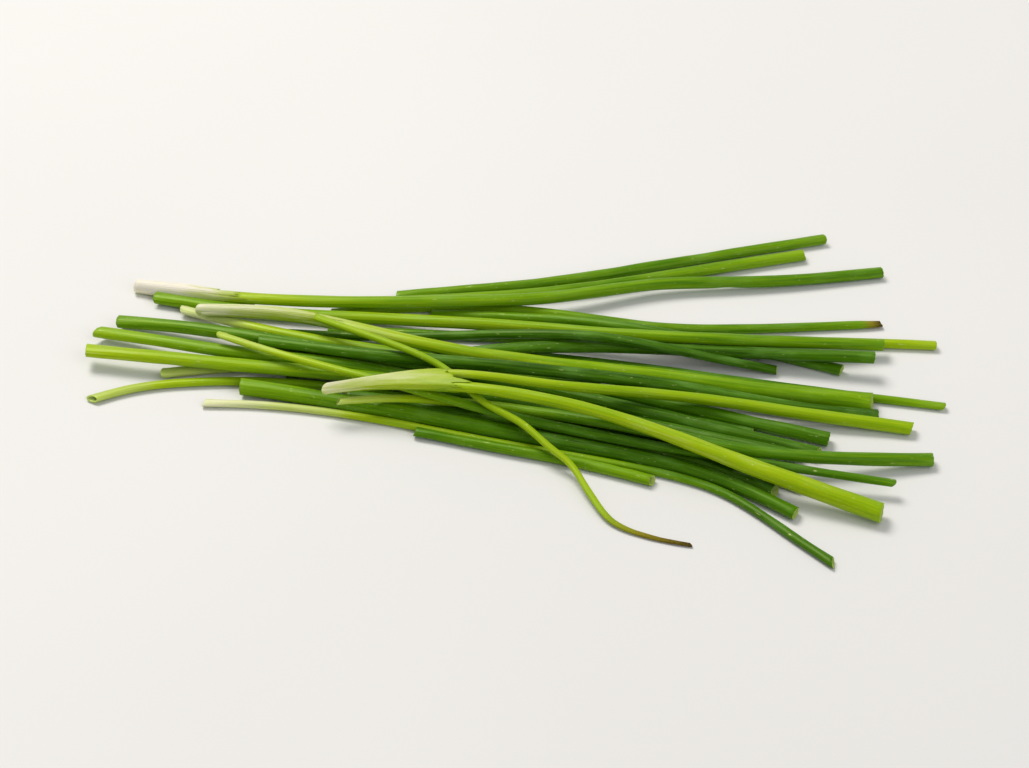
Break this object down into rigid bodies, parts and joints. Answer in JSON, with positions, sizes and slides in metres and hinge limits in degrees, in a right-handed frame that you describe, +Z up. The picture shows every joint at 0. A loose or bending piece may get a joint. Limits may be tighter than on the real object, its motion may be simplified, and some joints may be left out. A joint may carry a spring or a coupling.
{
  "type": "chive bunch",
  "caption": "A loose bunch of cut chives lying flat: long, thin, hollow green leaves heaped side by side, with pale feet at one end and square-cut ends at the other.",
  "frame": {"origin": "bottom centre of the bunch's bounding box, on the surface it lies on", "axes": "+X along the leaves towards their tips, +Y across the bunch to the side away from the viewer, +Z up"},
  "size_m": [0.1547, 0.0947, 0.009],
  "materials": {
    "olive_leaf": "satin",
    "bright_green_leaf": "satin",
    "deep_green_leaf": "satin",
    "mid_green_leaf": "satin",
    "yellow_green_leaf": "satin",
    "straw_leaf": "satin"
  },
  "bodies": {
    "root": {"leaf_01_short_front": "olive_leaf", "leaf_02_curved_left": "bright_green_leaf", "leaf_03_front_outlier": "olive_leaf", "leaf_04_long_front": "deep_green_leaf", "leaf_05_blunt_front": "mid_green_leaf", "leaf_06_far_right": "yellow_green_leaf", "leaf_07_blue_middle": "deep_green_leaf", "leaf_08_long_middle": "mid_green_leaf", "leaf_09_under_front": "deep_green_leaf", "leaf_10_under_back": "deep_green_leaf", "leaf_11_back_outer": "mid_green_leaf", "leaf_12_back_inner": "bright_green_leaf", "leaf_13_thick_middle": "mid_green_leaf", "leaf_14_left_middle": "mid_green_leaf", "leaf_15_thin_foot": "bright_green_leaf", "leaf_16_dark_front": "deep_green_leaf", "leaf_17_cut_right": "mid_green_leaf", "leaf_18_dry_tip": "mid_green_leaf", "leaf_19_under_fork": "mid_green_leaf", "leaf_20_dark_middle": "deep_green_leaf", "leaf_21_thin_crossing": "mid_green_leaf", "leaf_22_back_right": "bright_green_leaf", "leaf_23_white_foot": "mid_green_leaf", "leaf_24_kinked": "straw_leaf", "leaf_25_thick_top": "yellow_green_leaf", "leaf_26_fork_back": "yellow_green_leaf", "leaf_27_fork_front": "yellow_green_leaf"}
  },
  "joints": []
}
